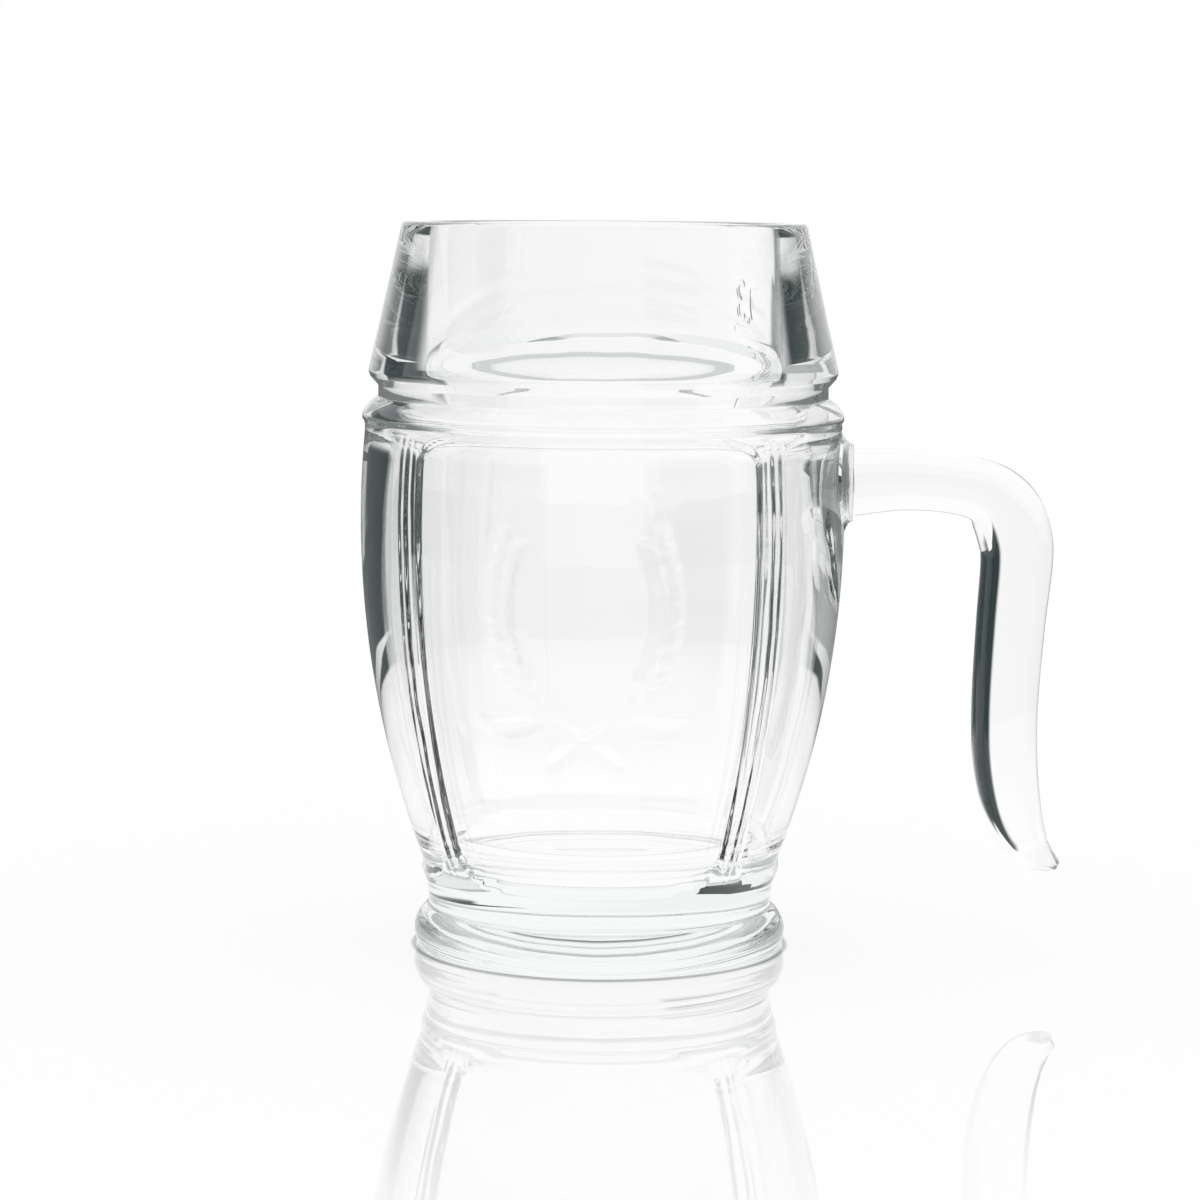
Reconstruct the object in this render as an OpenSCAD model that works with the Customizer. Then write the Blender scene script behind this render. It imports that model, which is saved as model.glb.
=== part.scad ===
// Handled beer mug in clear glass: a moulded barrel body, a hook handle and the weld between them.
// Millimetres, +Z up. The origin is on the barrel's axis at table height, and the handle is on +X.

/* [Body] */
// Height from the table to the rim
mug_h = 121; // [117:0.5:130]
// Outer radius of the collar at the rim
rim_r = 33.5; // [32.6:0.1:35]
// Outer radius of the collar at its lower edge
collar_r = 39; // [38.3:0.1:40.3]
// Height of the collar's lower edge
collar_z = 96.3; // [95.6:0.1:99]
// Outer radius in the groove under the collar
neck_r = 37.4; // [36.4:0.1:37.7]
// Height at which the barrel rounds over into the groove
shoulder_z = 88.6; // [88:0.1:90]
// Largest outer radius of the barrel, on its ribs
belly_r = 41; // [40.6:0.1:43]
// Height of the barrel's largest radius
belly_z = 72; // [68:0.5:75]
// Radius of the barrel's upright curve
barrel_round = 163; // [158:1:190]

/* [Foot] */
// Largest radius of the foot ring
foot_r = 31.2; // [30.8:0.1:33]
// Height of the foot ring
foot_h = 6.9; // [6.2:0.1:7.8]
// Outer radius of the plain band just above the foot ring
waist_r = 28.7; // [28.2:0.1:29]
// Height of the top of the plain band
band_z = 11.4; // [10.6:0.2:13]
// Outer radius of the ring that touches the table
rest_r = 30.2; // [29:0.1:30.5]
// Radius of the hollow under the base
punt_r = 24.5; // [18:0.5:27]
// Depth of the hollow under the base
punt_h = 1.8; // [0.5:0.1:3.5]

/* [Windows] */
// Angle from the handle's side to the middle of a rib
rib_place = 44.4; // [40:0.1:50]
// Width of the rib between two windows, in degrees round the barrel
rib_angle = 9.3; // [8:0.1:16]
// Depth of a window below the ribs
window_depth = 0.7; // [0.4:0.1:1]
// Height of a window's lower edge
window_low = 14.2; // [14:0.1:20]
// Height of a window's upper edge
window_high = 87.5; // [86.4:0.1:87.5]
// Radius of a window's corners
window_corner = 4.6; // [3:0.1:8]

/* [Inside] */
// Inner radius of the mouth at the rim
mouth_r = 29.2; // [28:0.1:29.7]
// Inner radius at the mouth's lower end
throat_r = 30; // [29.8:0.1:30.5]
// Height at which the mouth opens out into the barrel
throat_z = 98; // [96:0.1:100]
// Largest inner radius of the barrel
hollow_r = 36.7; // [36:0.1:37.2]
// Height of the largest inner radius
hollow_z = 65; // [62:0.5:68]
// Radius of the inside's upright curve
hollow_round = 131; // [122:1:140]
// Height at which the inside rounds over under the mouth
hollow_top = 81.5; // [80:0.1:83]
// Height of the inside floor
floor_z = 14.6; // [13.5:0.1:17]
// Radius of the flat middle of the inside floor
floor_r = 24.5; // [20:0.1:25]
// Height of the curve between the floor and the wall
floor_curve = 5; // [4.6:0.1:8]
// Height to which the mug is filled
fill_z = 97.3; // [95:0.1:104]

/* [Handle] */
// Distance from the axis to the face where the handle meets its weld
weld_x = 41.7; // [41.3:0.1:43]
// Height of the middle of the weld
weld_z = 78.4; // [76:0.1:78.8]
// Radius of the weld on the barrel
weld_r = 8.2; // [7.6:0.1:8.4]
// Radius of the weld at the handle
weld_neck_r = 6.4; // [6:0.1:7]
// Depth of the handle from its front face to its back face
handle_depth = 11; // [9:0.1:13]
// Share of the handle's width that is rounded towards the fingers
handle_round = 0.36; // [0.25:0.01:0.5]

/* [Hidden] */
$fn = 96;
glass_tint = [0.86, 0.91, 0.89];
// How far each small round bulges from the straight line between its ends
foot_low_bulge = 0.3;
foot_top_bulge = 0.6;
band_bulge = -0.13;
shoulder_bulge = 0.5;
lip_bulge = 0.32;
weld_bulge = -0.3;
// Height of the foot ring's largest radius as a share of the ring's height
foot_share = 0.45;
// Upright length of the round over the shoulder
shoulder_rise = 3.5;
// The slope and the small upright step under the collar's lower edge
collar_slope_h = 2.3;
collar_step_h = 0.9;
collar_step_w = 0.35;
// Radius of the rim's rounding
rim_lip = 1.15;
barrel_steps = 26;
hollow_steps = 18;
corner_steps = 6;
arc_steps = 6;
// Reach of the solids that are cut away, past the outside of the barrel
beyond = 55;
window_past = 1;
section_sides = 20;
span_steps = 4;
// Powers of the handle's section: nearly square outside, nearly round towards the fingers
square_side = 6;
round_side = 2.3;
// Width under which the handle also gets thinner from front to back
tip_w = 7;
// Small step along the handle over which its direction is measured
way_step = 0.02;

// Middle line of the handle from the weld to the tip, as distance from the axis, height and width
handle_line = [
  [weld_x, weld_z, 11],
  [weld_x + 7.9, weld_z + 0.5, 10],
  [weld_x + 15.8, weld_z, 9.6],
  [weld_x + 21.7, weld_z - 1.3, 10.3],
  [weld_x + 25, weld_z - 4.3, 11.9],
  [weld_x + 26.7, weld_z - 8.4, 12.2],
  [weld_x + 27.1, weld_z - 12.8, 11.8],
  [weld_x + 26.3, weld_z - 23.1, 11.3],
  [weld_x + 25.6, weld_z - 36.8, 10.9],
  [weld_x + 25.9, weld_z - 46.5, 10.6],
  [weld_x + 27.4, weld_z - 54.9, 9.5],
  [weld_x + 29.7, weld_z - 59.8, 7.5],
  [weld_x + 32.4, weld_z - 62.3, 4.7],
  [weld_x + 34.8, weld_z - 63.5, 1.6]
];

// Points of the arc from p to q that bulges to its right by sag, without p itself
function arc(p, q, sag, n = arc_steps) =
  let (half = norm(q - p) / 2)
  let (rho = (half * half + sag * sag) / (2 * sag))
  let (right = [q[1] - p[1], p[0] - q[0]] / (2 * half))
  let (c = (p + q) / 2 + right * (sag - rho))
  let (a0 = atan2(p[1] - c[1], p[0] - c[0]))
  let (turn = 2 * asin(half / rho))
  [for (i = [1:n]) c + abs(rho) * [cos(a0 + turn * i / n), sin(a0 + turn * i / n)]];

// Radius at height z of an upright curve with its largest radius at another height
function bowed_r(z, largest, at_z, curve) = largest - curve + sqrt(pow(curve, 2) - pow(z - at_z, 2));

// Outer radius of the barrel at height z, less an inset square to its curve
function barrel_r(z, inset = 0) = bowed_r(z, belly_r - inset, belly_z, barrel_round - inset);

// Inner radius of the barrel at height z
function inner_r(z) = bowed_r(z, hollow_r, hollow_z, hollow_round);

// Points up the barrel's curve between two heights
function barrel_points(low, high, inset = 0) =
  [for (i = [0:barrel_steps])
    let (z = low + (high - low) * i / barrel_steps)
    [barrel_r(z, inset), z]];

// Half section of the outside, from the middle of the underside up to the rim
function outside_points() =
  let (foot_mid = [foot_r, foot_h * foot_share])
  let (band = [barrel_r(band_z), band_z])
  let (shoulder = [barrel_r(shoulder_z), shoulder_z])
  let (lean = (collar_r - rim_r) / (mug_h - collar_z))
  let (lip = [rim_r + rim_lip * lean, mug_h - rim_lip])
  concat(
    [[0, punt_h]],
    arc([0, punt_h], [punt_r, 0], -punt_h / 4),
    [[rest_r, 0]],
    arc([rest_r, 0], foot_mid, foot_low_bulge),
    arc(foot_mid, [waist_r, foot_h], foot_top_bulge),
    arc([waist_r, foot_h], band, band_bulge),
    barrel_points(band_z + 1, shoulder_z),
    arc(shoulder, [neck_r, shoulder_z + shoulder_rise], shoulder_bulge),
    [[neck_r, collar_z - collar_slope_h]],
    [[collar_r - collar_step_w, collar_z - collar_step_h], [collar_r, collar_z]],
    [lip],
    arc(lip, [rim_r - rim_lip, mug_h], lip_bulge)
  );

// Half section of the inside, from the middle of the floor up to the rim
function inside_points() =
  let (floor_edge = [floor_r, floor_z])
  let (wall_low = [inner_r(floor_z + floor_curve), floor_z + floor_curve])
  let (wall_way = wall_low - floor_edge)
  let (floor_bulge = norm(wall_way) / 2 * tan(atan2(wall_way[1], wall_way[0]) / 2))
  let (wall_top = [inner_r(hollow_top), hollow_top])
  let (throat = [throat_r, throat_z])
  let (turn = (wall_top + throat) / 2)
  let (lean = atan2(wall_top[0] - throat_r, throat_z - hollow_top))
  let (turn_bulge = norm(turn - throat) / 2 * tan(lean / 2))
  concat(
    [[0, floor_z], floor_edge],
    arc(floor_edge, wall_low, floor_bulge),
    [for (i = [1:hollow_steps])
      let (z = wall_low[1] + (hollow_top - wall_low[1]) * i / hollow_steps)
      [inner_r(z), z]],
    arc(wall_top, turn, turn_bulge),
    arc(turn, throat, -turn_bulge),
    [[mouth_r, mug_h - rim_lip]],
    arc([mouth_r, mug_h - rim_lip], [mouth_r + rim_lip, mug_h], lip_bulge)
  );

function reversed(list) = [for (i = [len(list) - 1:-1:0]) list[i]];

// Volume of the inside below a height, summed over the slices between its points
function filled_volume(top) =
  let (line = [for (p = inside_points()) [p[0], min(p[1], top)]])
  let (slices = [for (i = [1:len(line) - 1])
    let (a = line[i - 1])
    let (b = line[i])
    PI / 3 * (b[1] - a[1]) * (a[0] * a[0] + a[0] * b[0] + b[0] * b[0])])
  slices * [for (s = slices) 1];

echo(capacity_ml = filled_volume(fill_z) / 1000);

// Half width at height z of a window that reaches so many degrees to each side, with round corners
function window_half(z, half_angle) =
  let (into_corner = max(0, window_low + window_corner - z, z - window_high + window_corner))
  let (cut = window_corner - sqrt(max(0, pow(window_corner, 2) - pow(into_corner, 2))))
  barrel_r(z, window_depth) * sin(half_angle) - cut;

// Heights at which a window's outline is drawn, close together round its corners
window_rows = concat(
  [for (i = [0:corner_steps]) window_low + window_corner * (1 - cos(90 * i / corner_steps))],
  [for (i = [1:barrel_steps - 1])
    window_low + window_corner + (window_high - window_low - 2 * window_corner) * i / barrel_steps],
  [for (i = [0:corner_steps]) window_high - window_corner * (1 - sin(90 * i / corner_steps))]
);

module window_outline(half_angle) {
  right_side = [for (z = window_rows) [window_half(z, half_angle), z]];
  left_side = [for (z = reversed(window_rows)) [-window_half(z, half_angle), z]];
  polygon(concat(right_side, left_side));
}

// Curve of the window floors, a little past the windows' lower and upper edges
window_floor = barrel_points(window_low - window_past, window_high + window_past, window_depth);

// The four windows: the way each one faces and how far it reaches to each side of that
side_half = rib_place - rib_angle / 2;
front_half = 90 - rib_place - rib_angle / 2;
window_places = [[0, front_half], [90, side_half], [180, front_half], [270, side_half]];

// Everything outside the window floors, between the windows' lower and upper edges
module outside_window_floors() {
  rotate_extrude()
    polygon(concat(
      window_floor,
      [[beyond, window_high + window_past], [beyond, window_low - window_past]]
    ));
}

// The solid that fills the barrel up to its window floors
module inside_window_floors() {
  rotate_extrude()
    polygon(concat([[0, window_low - window_past]], window_floor, [[0, window_high + window_past]]));
}

module mug_body() {
  color(glass_tint)
    difference() {
      rotate_extrude() polygon(concat(outside_points(), reversed(inside_points())));
      for (place = window_places)
        rotate([0, 0, place[0]])
          intersection() {
            outside_window_floors();
            rotate([90, 0, 0]) linear_extrude(beyond) window_outline(place[1]);
          }
    }
}

// Smooth curve through the points of a line: the point at t, counted in spans from the first point
function along(line, t) =
  let (last = len(line) - 1)
  let (i = min(floor(t), last - 1))
  let (f = t - i)
  let (a = line[max(i - 1, 0)])
  let (b = line[i])
  let (c = line[i + 1])
  let (d = line[min(i + 2, last)])
  b + 0.5 * f * (c - a + f * (2 * a - 5 * b + 4 * c - d + f * (3 * (b - c) + d - a)));

// Point of the handle's section at angle a, as the share of its width outwards and its depth
function section_point(a, w, depth) =
  let (power = cos(a) > 0 ? square_side : round_side)
  let (reach = cos(a) > 0 ? 1 - handle_round : handle_round)
  let (out = sign(cos(a)) * pow(abs(cos(a)), 2 / power) * reach + handle_round - 0.5)
  [w * out, depth / 2 * sign(sin(a)) * pow(abs(sin(a)), 2 / power)];

// Ring of points round the handle at t along its middle line, square to that line
function handle_ring(t) =
  let (last = len(handle_line) - 1)
  let (p = along(handle_line, t))
  let (way = along(handle_line, min(t + way_step, last)) - along(handle_line, max(t - way_step, 0)))
  let (out = t == 0 ? [0, 1] : [-way[1], way[0]] / norm([way[0], way[1]]))
  let (depth = handle_depth * sqrt(min(1, p[2] / tip_w)))
  [for (k = [0:section_sides - 1])
    let (s = section_point(360 * k / section_sides, p[2], depth))
    [p[0] + out[0] * s[0], s[1], p[1] + out[1] * s[0]]];

module handle() {
  rings = span_steps * (len(handle_line) - 1);
  points = [for (i = [0:rings]) each handle_ring(i / span_steps)];
  sides = [for (i = [0:rings - 1], k = [0:section_sides - 1])
    let (here = i * section_sides)
    let (next = (k + 1) % section_sides)
    each [[here + k, here + section_sides + next, here + section_sides + k],
          [here + k, here + next, here + section_sides + next]]];
  start = [[for (k = [section_sides - 1:-1:0]) k]];
  tip = [[for (k = [0:section_sides - 1]) rings * section_sides + k]];
  color(glass_tint) polyhedron(points, concat(sides, start, tip));
}

// Flared pad between the window and the end of the handle
module handle_weld() {
  base_x = barrel_r(weld_z, window_depth);
  root_x = base_x - weld_r / 3;
  color(glass_tint)
    difference() {
      translate([0, 0, weld_z])
        rotate([0, 90, 0])
          rotate_extrude()
            polygon(concat(
              [[0, root_x], [weld_r, root_x], [weld_r, base_x]],
              arc([weld_r, base_x], [weld_neck_r, weld_x], weld_bulge),
              [[0, weld_x]]
            ));
      inside_window_floors();
    }
}

mug_body();
handle();
handle_weld();
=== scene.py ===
import math

import bpy
import numpy as np
from mathutils import Matrix, Vector


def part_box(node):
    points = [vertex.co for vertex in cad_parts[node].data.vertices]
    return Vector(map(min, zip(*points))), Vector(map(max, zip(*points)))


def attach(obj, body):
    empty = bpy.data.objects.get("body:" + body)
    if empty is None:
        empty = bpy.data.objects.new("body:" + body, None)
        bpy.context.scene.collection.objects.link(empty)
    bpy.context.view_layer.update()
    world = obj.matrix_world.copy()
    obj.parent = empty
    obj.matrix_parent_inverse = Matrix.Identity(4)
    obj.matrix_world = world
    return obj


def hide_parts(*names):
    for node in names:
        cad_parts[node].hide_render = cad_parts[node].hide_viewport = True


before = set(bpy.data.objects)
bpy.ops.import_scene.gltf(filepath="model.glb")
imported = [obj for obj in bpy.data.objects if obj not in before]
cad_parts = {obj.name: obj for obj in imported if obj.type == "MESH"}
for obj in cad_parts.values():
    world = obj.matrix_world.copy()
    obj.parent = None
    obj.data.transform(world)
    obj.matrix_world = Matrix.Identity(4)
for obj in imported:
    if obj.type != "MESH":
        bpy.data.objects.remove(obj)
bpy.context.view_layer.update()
scene = bpy.context.scene
scene.view_settings.view_transform = "Standard"
scene.cycles.max_bounces = 40  # thick glass passes light on many times
scene.cycles.glossy_bounces = 32
scene.cycles.transmission_bounces = 32

bodyLow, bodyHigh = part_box("mug_body")
drawnHeight = 121  # of the mug, in millimetres of the drawing
mm = (bodyHigh[2] - bodyLow[2]) / drawnHeight  # metres for one of them
rimHeight = bodyHigh[2] / mm
print("frame loaded, drawing unit", mm)


# Node trees, with plain arithmetic between the outputs of nodes

class Field:  # a node's output that can be added to, multiplied and so on like a number
    def __init__(self, socket):
        self.socket = socket

    def __abs__(self):
        return sums("ABSOLUTE", self)

    def __add__(self, other):
        return sums("ADD", self, other)

    def __sub__(self, other):
        return sums("SUBTRACT", self, other)

    def __rsub__(self, other):
        return sums("SUBTRACT", other, self)

    def __mul__(self, other):
        return sums("MULTIPLY", self, other)

    def __truediv__(self, other):
        return sums("DIVIDE", self, other)

    def __rtruediv__(self, other):
        return sums("DIVIDE", other, self)


def treeOf(*values):  # the tree that the first output among some values belongs to
    return next(value.socket.id_data for value in values if isinstance(value, Field))


def feed(socket, value):
    if isinstance(value, Field):
        socket.id_data.links.new(value.socket, socket)
    else:
        socket.default_value = value


def newNode(tree, kind, inputs=None, **settings):
    node = tree.nodes.new(kind)
    for name, value in settings.items():
        setattr(node, name, value)
    for name, value in (inputs or {}).items():
        feed(node.inputs[name], value)
    return node


def field(tree, kind, inputs=None, output=0, **settings):  # the output of a new node
    return Field(newNode(tree, kind, inputs, **settings).outputs[output])


def fields(node):  # all outputs of a node by name
    return {socket.name: Field(socket) for socket in node.outputs}


def sums(operation, *values, clamp=False):
    inputs = dict(enumerate(values))
    return field(treeOf(*values), "ShaderNodeMath", inputs, operation=operation, use_clamp=clamp)


def vectorSums(operation, *values):
    inputs = dict(enumerate(values))
    output = "Value" if operation == "LENGTH" else "Vector"
    return field(treeOf(*values), "ShaderNodeVectorMath", inputs, output, operation=operation)


def scaled(vector, length):
    return field(treeOf(vector), "ShaderNodeVectorMath", {0: vector, "Scale": length}, operation="SCALE")


def parted(vector):
    return fields(newNode(treeOf(vector), "ShaderNodeSeparateXYZ", {0: vector})).values()


def joined(*values):
    return field(treeOf(*values), "ShaderNodeCombineXYZ", dict(enumerate(values)))


def hypot(a, b):
    return sums("SQRT", a * a + b * b)


def above(value, limit):
    return sums("GREATER_THAN", value, limit)


def below(value, limit):
    return sums("LESS_THAN", value, limit)


def smallest(one, other):
    return sums("MINIMUM", one, other)


def largest(first, *others):
    for other in others:
        first = sums("MAXIMUM", first, other)
    return first


def mixed(share, first, second):
    inputs = {"Factor": share, "A": first, "B": second}
    return field(treeOf(share), "ShaderNodeMix", inputs, "Result", data_type="FLOAT")


def blend(share, first, second):  # of two colours, which have their own sockets on the node
    return field(treeOf(share), "ShaderNodeMix", {"Factor": share, 6: first, 7: second}, 2, data_type="RGBA")


def eased(value, start, end):  # 0 at the start, 1 at the end, smooth between
    inputs = {"Value": value, "From Min": start, "From Max": end}
    return field(treeOf(value), "ShaderNodeMapRange", inputs, interpolation_type="SMOOTHSTEP")


def noise(place, scale, detail=1.0):
    inputs = {"Vector": place, "Scale": scale, "Detail": detail}
    return field(treeOf(place), "ShaderNodeTexNoise", inputs, noise_dimensions="3D")


def shapeFrom(holder):  # the geometry of a helper object
    return field(treeOf(holder), "GeometryNodeObjectInfo", {"Object": holder}, "Geometry",
                 transform_space="ORIGINAL")


def captured(geometry, **items):  # values that are kept as they are at this point: kind and field by name
    node = newNode(treeOf(geometry), "GeometryNodeCaptureAttribute", domain="POINT")
    for name, (kind, value) in items.items():
        node.capture_items.new(kind, name)
    feed(node.inputs["Geometry"], geometry)
    for name, (kind, value) in items.items():
        feed(node.inputs[name], value)
    return fields(node)


def geometryTree(name, floats, **others):  # with the names of its inputs, by kind
    tree = bpy.data.node_groups.new(name, "GeometryNodeTree")
    kinds = dict(Geometry=["Geometry"], Float=floats, Material=["glass"], **others)
    for kind, labels in kinds.items():
        for label in labels:
            tree.interface.new_socket(label, in_out="INPUT", socket_type="NodeSocket" + kind)
    tree.interface.new_socket("Geometry", in_out="OUTPUT", socket_type="NodeSocketGeometry")
    return tree, fields(newNode(tree, "NodeGroupInput"))


def endTree(geometry, glass):
    tree = treeOf(geometry)
    realized = field(tree, "GeometryNodeRealizeInstances", {0: geometry})
    finished = field(tree, "GeometryNodeSetMaterial", {"Geometry": realized, "Material": glass})
    newNode(tree, "NodeGroupOutput", {0: finished})
    return tree


def inMetres(sizes, shares=(), angles=()):  # values for a tree's inputs; shares stay as they are
    units = dict.fromkeys(shares, 1) | dict.fromkeys(angles, math.radians(1))
    return {name: size * units.get(name, mm) for name, size in sizes.items()}


def meshOf(piece):
    view = bpy.context.evaluated_depsgraph_get()
    return bpy.data.meshes.new_from_object(piece.evaluated_get(view), depsgraph=view)


def builtMesh(piece, tree, values):
    modifier = piece.modifiers.new(tree.name, "NODES")
    modifier.node_group = tree
    for item in tree.interface.items_tree:
        if item.in_out == "INPUT" and item.name in values:
            modifier[item.identifier] = values[item.name]
    mesh = meshOf(piece)
    piece.modifiers.clear()
    return mesh


def addPiece(name, mesh):
    piece = bpy.data.objects.new(name, mesh)
    scene.collection.objects.link(piece)
    return piece


def shapedMesh(name, points, faces):
    mesh = bpy.data.meshes.new(name)
    mesh.from_pydata(points, [], faces)
    return mesh


# Camera, set from the ellipses of the rim, the collar and the foot

lookFrom = dict(
    distance=615.1,    # from the mug's axis, mm
    height=127.3,      # above the table, mm
    azimuth=4.2,       # towards the handle, degrees
    pitch=6.42,        # downwards, degrees
    roll=0.44,         # degrees
    aside=0.3,         # the axis stands this far right of the middle, mm
    lens=111.0,
    sensor=36.0,
    nearest=0.01,      # metres
)


def addCamera():
    turn = math.radians(lookFrom["azimuth"])
    away = Vector((math.sin(turn), -math.cos(turn), 0))
    right = Vector((math.cos(turn), math.sin(turn), 0))
    down = math.radians(lookFrom["pitch"])
    forward = (-away * math.cos(down) - Vector((0, 0, math.sin(down)))).normalized()
    up = right.cross(forward)
    lean = math.radians(lookFrom["roll"])
    leanRight = right * math.cos(lean) + up * math.sin(lean)
    leanUp = up * math.cos(lean) - right * math.sin(lean)
    camera = bpy.data.objects.new("camera", bpy.data.cameras.new("camera"))
    camera.data.lens = lookFrom["lens"]
    camera.data.sensor_width = lookFrom["sensor"]
    camera.data.clip_start = lookFrom["nearest"]
    place = away * lookFrom["distance"] - right * lookFrom["aside"] + Vector((0, 0, lookFrom["height"]))
    turnMatrix = Matrix((leanRight, leanUp, -forward)).transposed().to_4x4()
    camera.matrix_world = Matrix.Translation(place * mm) @ turnMatrix
    scene.collection.objects.link(camera)
    scene.camera = camera


addCamera()
print("camera placed")


# Glass: three mixes of one surface, wavy from the fire and very slightly worn

glass = dict(
    tint=(0.60, 0.72, 0.62, 1),  # of light on its way through
    bending=1.52,
    wearScale=900.0,             # specks of wear per metre
    wearDetail=3.0,
    wearFrom=0.5,                # values of the noise over which the wear starts
    wearTo=0.75,
)
white = (1, 1, 1, 1)


def surfaceGroup():
    tree = bpy.data.node_groups.new("glassSurface", "ShaderNodeTree")
    for label in ("Wave Size", "Wave Depth", "Wear"):
        tree.interface.new_socket(label, in_out="INPUT", socket_type="NodeSocketFloat")
    tree.interface.new_socket("Roughness", in_out="OUTPUT", socket_type="NodeSocketFloat")
    tree.interface.new_socket("Normal", in_out="OUTPUT", socket_type="NodeSocketVector")
    get = fields(newNode(tree, "NodeGroupInput"))
    place = field(tree, "ShaderNodeTexCoord", output="Object")
    wave = noise(place, 1.0 / get["Wave Size"])
    bump = field(tree, "ShaderNodeBump", {"Strength": 1.0, "Distance": get["Wave Depth"], "Height": wave})
    worn = eased(noise(place, glass["wearScale"], glass["wearDetail"]), glass["wearFrom"], glass["wearTo"])
    newNode(tree, "NodeGroupOutput", {"Roughness": worn * get["Wear"], "Normal": bump})
    return tree


glassSurface = surfaceGroup()


def glassMaterial(name, density, waveSize, waveDepth, wear):
    material = bpy.data.materials.new(name)
    material.use_nodes = True
    tree = material.node_tree
    sizes = {"Wave Size": waveSize * mm, "Wave Depth": waveDepth * mm, "Wear": wear}
    surface = fields(newNode(tree, "ShaderNodeGroup", sizes, node_tree=glassSurface))
    shader = tree.nodes["Principled BSDF"]
    looks = {"Base Color": white, "IOR": glass["bending"], "Transmission Weight": 1}
    for label, value in (looks | surface).items():
        feed(shader.inputs[label], value)
    absorb = field(tree, "ShaderNodeVolumeAbsorption", {"Color": glass["tint"], "Density": density})
    feed(tree.nodes["Material Output"].inputs["Volume"], absorb)
    return material


pressedGlass = glassMaterial("pressedGlass", 3.2, 14, 0.02, 0.03)
handleGlass = glassMaterial("handleGlass", 3.2, 11, 0.03, 0.02)
weldGlass = glassMaterial("weldGlass", 12, 4, 0.15, 0.04)


# Pressed body: a section turned round the axis, then windows pressed into the barrel

barrel = dict(
    rimRadius=33.5,
    collarRadius=39.0,
    collarHeight=96.3,
    collarSlope=2.3,      # height of the slope and of the step under the collar's edge
    collarStep=0.9,
    collarStepWide=0.35,
    neckRadius=37.4,
    shoulderHeight=88.6,
    shoulderRise=3.5,
    shoulderBulge=0.5,
    bellyRadius=41.0,
    bellyHeight=72.0,
    upright=163.0,        # radius of the barrel's upright curve
    footRadius=31.2,
    footHeight=6.9,
    footShare=0.45,       # of the foot's height, where it is widest
    footBulges=(0.3, 0.6),
    waistRadius=28.7,
    bandHeight=11.4,
    bandBulge=-0.13,
    restRadius=30.2,
    puntRadius=24.5,
    puntHeight=1.8,
    restRows=(26.5, 28.7),  # rings on the part that touches the table
    lipOut=0.92,          # radii of the rim's rounding
    lipIn=1.035,
    edge=0.5,             # radius of a fire-polished edge
    neckEdges=(0.35, 0.4, 0.2),
    rowStep=0.9,          # between rings on the barrel
    reliefRows=(34.0, 80.0, 0.65),  # the rings that carry the relief: from, to, step
    markRows=(96.9, 106.3, 0.3),    # those that carry the fill mark
    collarRows=(119.0, 1.2),        # and those above it: to, step
    denseInside=11,       # rings inside the mouth that still have all columns
    insideStep=2.0,       # degrees between the columns further down
)

hollow = dict(
    mouthRadius=29.2,     # at the rim
    throatRadius=30.0,    # where the mouth opens out into the barrel
    throatHeight=98.0,
    radius=36.7,
    height=65.0,
    upright=131.0,        # radius of the inside's upright curve
    top=81.5,
    floorHeight=14.6,
    floorRadius=24.5,
    floorCurve=5.0,
    floorStep=3.5,        # between rings on the floor, the wall and the mouth
    wallStep=1.8,
    mouthStep=2.5,
    mouthTop=118.0,       # where the rings of the rim's rounding start
)

windows = dict(
    ribPlace=44.4,        # from the handle's side to the middle of a rib, degrees
    ribAngle=9.3,         # between the middles of the edges on a rib's two sides, degrees
    depth=0.73,
    low=14.2,
    high=87.5,
    corner=4.6,
    edge=2.0,             # width of the sloping edge above and below
    sideEdge=4.4,         # and along a rib
    gentle=0.15,          # share of the depth that the long easy slope takes
    steepFrom=0.57,       # where the steep part of the edge starts and ends
    steepTo=0.775,
    backGentle=1.0,       # the edges at the back are easier
    crown=0.25,           # how far the middle of a front rib stands out
    crownAside=0.8,       # its distance from the rib's middle, towards the side window
    crownHalf=2.6,        # half its width
    ripple=0.16,          # fine flutes that run along it
    rippleWide=1.7,
    ribWaver=1.2,         # how far the flutes wander
    ribWaverSize=3.0,
    ribWaverDrawn=0.22,   # the waves are drawn out along the rib
    groove=87.9,          # height of the groove that parts a rib from the shoulder
    grooveHalf=1.0,
    grooveShare=0.75,     # of the windows' depth
    waver=0.05,           # depth of the waves that the mould leaves
    waverSize=9.0,
    dent=1.3,             # the inside swells where the hot handle was stuck on
    dentReach=15.0,
    dentSize=5.5,
)
windowAngles = ("ribPlace", "ribAngle")
windowShares = ("gentle", "steepFrom", "steepTo", "backGentle", "grooveShare", "ribWaverDrawn")
dentBelow = 7.0           # from the middle of the weld down to the swelling's middle

bar = dict(
    weldX=41.7,
    weldZ=78.4,
    depth=11.0,
    roundShare=0.36,      # of the width, rounded towards the fingers
    squareSide=6.0,       # powers of the section outside and towards the fingers
    roundSide=2.3,
    tipWidth=7.0,         # under which the bar also gets thinner from front to back
    gap=0.03,             # hairline between two pieces of glass
    hookReach=25.0,       # from the weld to the bar's upright stretch
    sides=48,
    rings=140,
)
hookLine = [  # along the middle of the bar: out, up, width
    (0, 0, 11), (7.9, 0.5, 10), (15.8, 0, 9.6), (21.7, -1.3, 10.3), (25, -4.3, 11.9), (26.7, -8.4, 12.2),
    (27.1, -12.8, 11.8), (26.3, -23.1, 11.3), (25.6, -36.8, 10.9), (25.9, -46.5, 10.6), (27.4, -54.9, 9.5),
    (29.7, -59.8, 7.5), (32.4, -62.3, 4.7), (34.8, -63.5, 1.6),
]


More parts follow.
